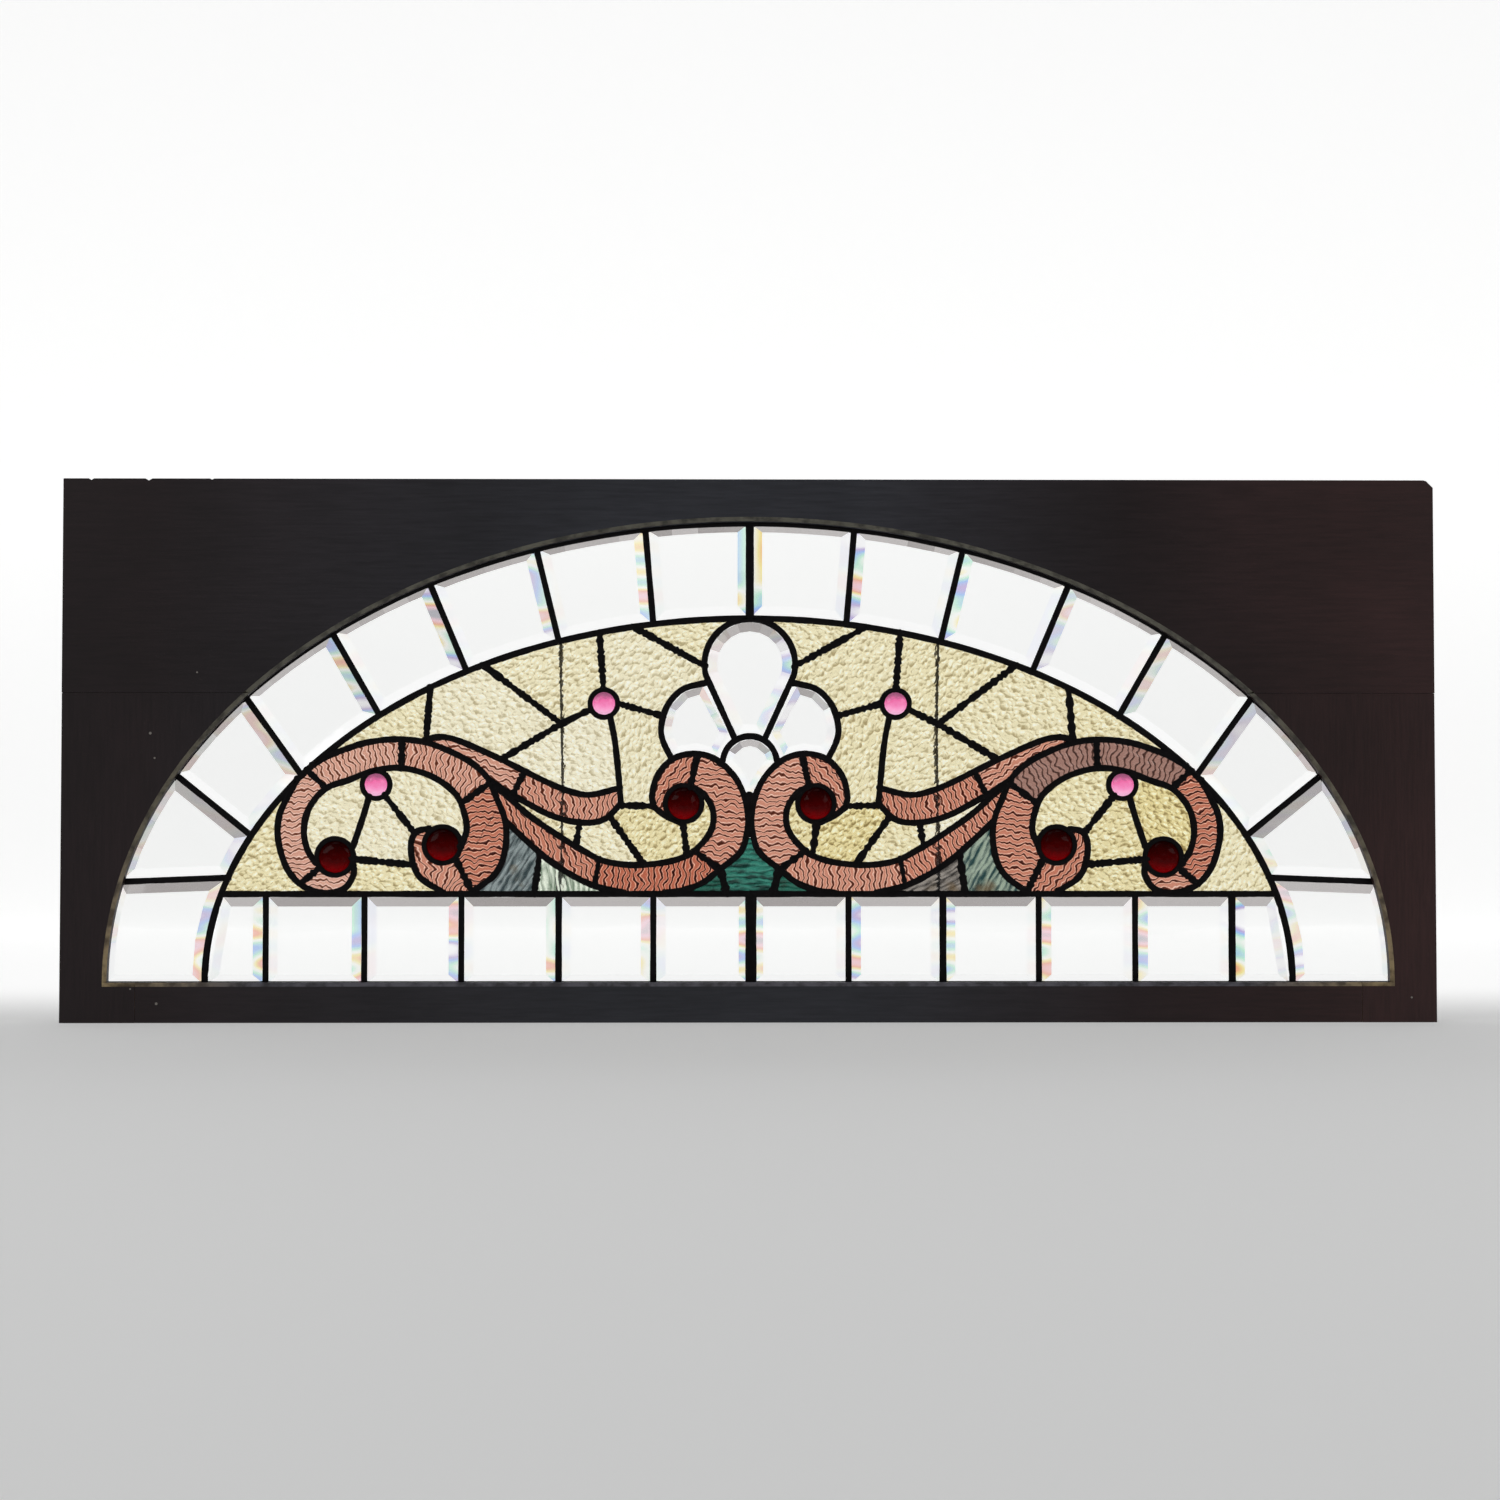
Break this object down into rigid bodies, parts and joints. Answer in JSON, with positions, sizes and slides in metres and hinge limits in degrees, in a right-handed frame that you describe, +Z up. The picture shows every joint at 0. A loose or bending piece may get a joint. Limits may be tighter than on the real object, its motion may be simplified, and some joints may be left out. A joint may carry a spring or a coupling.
{
  "type": "leaded glass transom window",
  "caption": "Half-elliptical leaded glass panel with bevelled border panes, scrolling coloured ribbons and pressed jewels, set in a rectangular painted wooden sash.",
  "frame": {"origin": "bottom centre of the bottom rail's underside, at the middle of the sash's thickness", "axes": "+X along the window's width to the right as seen from the front, +Y from the front face to the back, +Z up"},
  "size_m": [1.2192, 0.035, 0.4826],
  "materials": {
    "dark_painted_wood": "old dark paint, dull, worn along the sight edge",
    "dark_lead": "dark patinated lead with solder at the joints",
    "dark_steel_bar": "dull dark steel",
    "clear_bevelled_glass": "polished clear plate with ground and polished bevels",
    "salmon_ripple_glass": "opalescent salmon glass with brown cross ripples",
    "cream_hammered_glass": "pale amber hammered cathedral glass",
    "grey_green_streaky_glass": "grey-green streaky glass with ripples",
    "teal_streaky_glass": "dark green and teal streaky glass",
    "ruby_jewel_glass": "pressed ruby glass",
    "pink_jewel_glass": "pressed pink glass"
  },
  "bodies": {
    "root": {"border_bevel_1_left": "clear_bevelled_glass", "border_bevel_1_right": "clear_bevelled_glass", "border_bevel_2_left": "clear_bevelled_glass", "border_bevel_2_right": "clear_bevelled_glass", "border_bevel_3_left": "clear_bevelled_glass", "border_bevel_3_right": "clear_bevelled_glass", "border_bevel_4_left": "clear_bevelled_glass", "border_bevel_4_right": "clear_bevelled_glass", "border_bevel_5_left": "clear_bevelled_glass", "border_bevel_5_right": "clear_bevelled_glass", "border_bevel_6_left": "clear_bevelled_glass", "border_bevel_6_right": "clear_bevelled_glass", "border_bevel_7_left": "clear_bevelled_glass", "border_bevel_7_right": "clear_bevelled_glass", "border_bevel_8_left": "clear_bevelled_glass", "border_bevel_8_right": "clear_bevelled_glass", "bottom_bevel_1_left": "clear_bevelled_glass", "bottom_bevel_1_right": "clear_bevelled_glass", "bottom_bevel_2_left": "clear_bevelled_glass", "bottom_bevel_2_right": "clear_bevelled_glass", "bottom_bevel_3_left": "clear_bevelled_glass", "bottom_bevel_3_right": "clear_bevelled_glass", "bottom_bevel_4_left": "clear_bevelled_glass", "bottom_bevel_4_right": "clear_bevelled_glass", "bottom_bevel_5_left": "clear_bevelled_glass", "bottom_bevel_5_right": "clear_bevelled_glass", "bottom_bevel_6_left": "clear_bevelled_glass", "bottom_bevel_6_right": "clear_bevelled_glass", "bottom_rail": "dark_painted_wood", "fan_bevel": "clear_bevelled_glass", "hammered_corner_left": "cream_hammered_glass", "hammered_corner_right": "cream_hammered_glass", "hammered_field_left": "cream_hammered_glass", "hammered_field_right": "cream_hammered_glass", "hammered_scroll_left": "cream_hammered_glass", "hammered_scroll_right": "cream_hammered_glass", "head_board": "dark_painted_wood", "lead_cames": "dark_lead", "lobe_bevel_left": "clear_bevelled_glass", "lobe_bevel_right": "clear_bevelled_glass", "pink_jewel_1_left": "pink_jewel_glass", "pink_jewel_1_right": "pink_jewel_glass", "pink_jewel_2_left": "pink_jewel_glass", "pink_jewel_2_right": "pink_jewel_glass", "ripple_ribbon_left": "salmon_ripple_glass", "ripple_ribbon_right": "salmon_ripple_glass", "ruby_jewel_1_left": "ruby_jewel_glass", "ruby_jewel_1_right": "ruby_jewel_glass", "ruby_jewel_2_left": "ruby_jewel_glass", "ruby_jewel_2_right": "ruby_jewel_glass", "ruby_jewel_3_left": "ruby_jewel_glass", "ruby_jewel_3_right": "ruby_jewel_glass", "side_board_left": "dark_painted_wood", "side_board_right": "dark_painted_wood", "streaky_centre": "teal_streaky_glass", "streaky_side_left": "grey_green_streaky_glass", "streaky_side_right": "grey_green_streaky_glass", "support_bar_left": "dark_steel_bar", "support_bar_right": "dark_steel_bar", "teardrop_bevel": "clear_bevelled_glass"}
  },
  "joints": []
}
